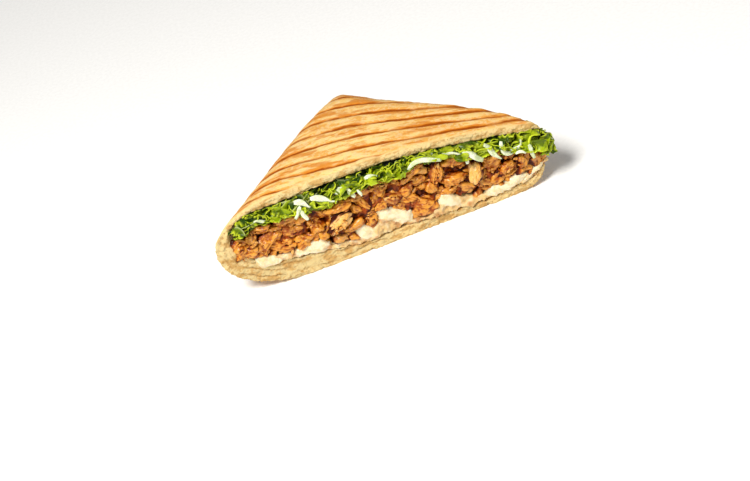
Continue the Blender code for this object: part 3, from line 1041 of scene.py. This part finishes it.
def pool_places():
    """For each pool, what takes its unit sphere to its place: its centre, its half sizes and its turn."""
    places = []
    for along, up, half_long, half_high, tilt in POOLS:
        size = Vector((half_long, 2.4, half_high)) * MM
        places.append((cut_place(along, up) + BACK * 0.8 * MM, size, Matrix.Rotation(radians(-tilt), 3, "Y")))
    return places


def pool_shapes(places, rng):
    """Rounded blobs that melt into one body with the cheese layer."""
    pile = Pile()
    points, faces = FORMS[4]
    for centre, size, turn in places:
        seed = rng.uniform(0, 40)
        swells = [1 + 0.35 * uneven(point, 0.8, seed, 3) for point in points]
        pile.add([centre + turn @ (point * size) * swell for point, swell in zip(points, swells)], faces)
    return pile.mesh("pools")


def smooth(work):
    axes = {"use_axis_x": True, "use_axis_y": True, "use_axis_z": True}
    for _ in range(4):
        bmesh.ops.smooth_vert(work, verts=work.verts, factor=0.5, **axes)


def cheese_body(settings):
    """The melted cheese: the solid's own form with the pools melted into it, stained between them."""
    places = pool_places()
    sources = solid("cheese"), pool_shapes(places, Random(4))
    both = rework(bpy.data.meshes.new("both"), lambda work: None, *sources)
    mesh = rework(remeshed(both, settings.mesh_size), smooth)
    moved, stain = [], []
    for vertex in mesh.vertices:
        point = vertex.co
        front = smooth_step(CUT_Y + 5 * MM, CUT_Y, point.y)
        from_pools = []
        for centre, size, turn in places:
            away = turn.transposed() @ (point - centre)
            from_pools.append(sqrt((away.x / size.x) ** 2 + (away.z / size.z) ** 2))
        body = smooth_step(0.85, 1.25, min(from_pools) + 0.25 * uneven(point, 4 * MM, 33))
        rough = (0.2 + 0.8 * body) * front * MM
        shift = vertex.normal * rough * (uneven(point, 4 * MM, 31) + uneven(point, 1.8 * MM, 32))
        shift.y += 0.3 * MM * body * front
        moved.append(point + shift)
        stain.append(clamp(0.8 * body + 0.6 * uneven(point, 3 * MM, 34)))
    move_vertices(mesh, moved)
    set_values(mesh, "stain", stain)
    return mesh


class QUESADILLA_OT_cheese(bpy.types.Operator):
    """Make the melted cheese under the chicken and the grated strips in the lettuce"""

    bl_idname = "quesadilla.cheese"
    bl_label = "Cheese"

    def execute(self, context):
        settings = context.scene.quesadilla_cheese
        add_piece("cheese_melted", cheese_body(settings), melted_cheese(settings), ["cheese"])
        strips = grated_strips(settings, CutBand("lettuce"), Random(8))
        add_piece("cheese_grated", strips, grated_cheese(settings))
        return {"FINISHED"}


# Stage


def place_in_scene(name, data, turn, place):
    """Links a light or a camera that looks along its own -z, turned and placed."""
    made = bpy.data.objects.new(name, data)
    made.matrix_world = Matrix.Translation(place) @ turn.to_4x4()
    bpy.context.scene.collection.objects.link(made)
    return made


def add_light(name, place, size, power, warmth="#FFFFFF"):
    """A round soft light that looks at the middle of the quesadilla."""
    data = bpy.data.lights.new(name, "AREA")
    data.shape = "DISK"
    data.size = size
    data.energy = power
    data.color = linear(warmth)[:3]
    look = (Vector((0, 0, 0.02)) - place).to_track_quat("-Z", "Y").to_matrix()
    place_in_scene(name, data, look, place)


def add_camera(settings, target):
    """A camera in front of the cut, looking down on it and turned about its view."""
    data = bpy.data.cameras.new("camera")
    data.lens = settings.lens
    data.sensor_width = 36
    back = Vector((0, -cos(settings.elevation), sin(settings.elevation)))
    right = cos(settings.roll) * RIGHT + sin(settings.roll) * back.cross(RIGHT)
    turn = Matrix((right, back.cross(right), back)).transposed()
    place = target + back * settings.distance
    bpy.context.scene.camera = place_in_scene("camera", data, turn, place)


class QUESADILLA_OT_stage(bpy.types.Operator):
    """Make the pale floor, the soft studio lights and the camera"""

    bl_idname = "quesadilla.stage"
    bl_label = "Stage"

    def execute(self, context):
        settings = context.scene.quesadilla_stage
        mesh = rework(
            bpy.data.meshes.new("floor"),
            lambda work: bmesh.ops.create_grid(work, x_segments=8, y_segments=8, size=3),
        )
        mesh.materials.append(studio_paper(settings))
        floor = bpy.data.objects.new("floor", mesh)
        context.scene.collection.objects.link(floor)
        add_light("key", Vector((-0.35, -0.55, 0.9)), 0.4, settings.key, "#FFFCF6")
        add_light("fill", Vector((0.6, -0.9, 0.45)), 0.9, settings.fill)
        world = bpy.data.worlds.new("studio")
        world.use_nodes = True
        background = world.node_tree.nodes["Background"]
        fill(world.node_tree, background, {"Color": linear("#FFFFFF"), "Strength": settings.sky})
        context.scene.world = world
        context.scene.view_settings.view_transform = "Standard"
        add_camera(settings, Vector((-9.7, CUT_Y / MM - 19.5, 18.2)) * MM)
        return {"FINISHED"}


# Panel and registration


SETTINGS = {
    "quesadilla_tortilla": (QUESADILLA_OT_tortilla, TortillaSettings),
    "quesadilla_lettuce": (QUESADILLA_OT_lettuce, LettuceSettings),
    "quesadilla_chicken": (QUESADILLA_OT_chicken, ChickenSettings),
    "quesadilla_cheese": (QUESADILLA_OT_cheese, CheeseSettings),
    "quesadilla_stage": (QUESADILLA_OT_stage, StageSettings),
}


class QUESADILLA_PT_pieces(bpy.types.Panel):
    """Lists the pieces and their settings"""

    bl_idname = "QUESADILLA_PT_pieces"
    bl_label = "Quesadilla"
    bl_space_type = "VIEW_3D"
    bl_region_type = "UI"
    bl_category = "Quesadilla"

    def draw(self, context):
        for name, (operator, group) in SETTINGS.items():
            box = self.layout.box()
            box.operator(operator.bl_idname)
            settings = getattr(context.scene, name)
            for setting in group.__annotations__:
                box.prop(settings, setting)


def register():
    for name, (operator, group) in SETTINGS.items():
        bpy.utils.register_class(group)
        bpy.utils.register_class(operator)
        setattr(bpy.types.Scene, name, PointerProperty(type=group))
    bpy.utils.register_class(QUESADILLA_PT_pieces)


def unregister():
    bpy.utils.unregister_class(QUESADILLA_PT_pieces)
    for name, (operator, group) in SETTINGS.items():
        delattr(bpy.types.Scene, name)
        bpy.utils.unregister_class(operator)
        bpy.utils.unregister_class(group)


def main():
    register()
    for operator, _ in SETTINGS.values():
        getattr(bpy.ops.quesadilla, operator.bl_label.lower())()


if __name__ == "__main__":
    main()
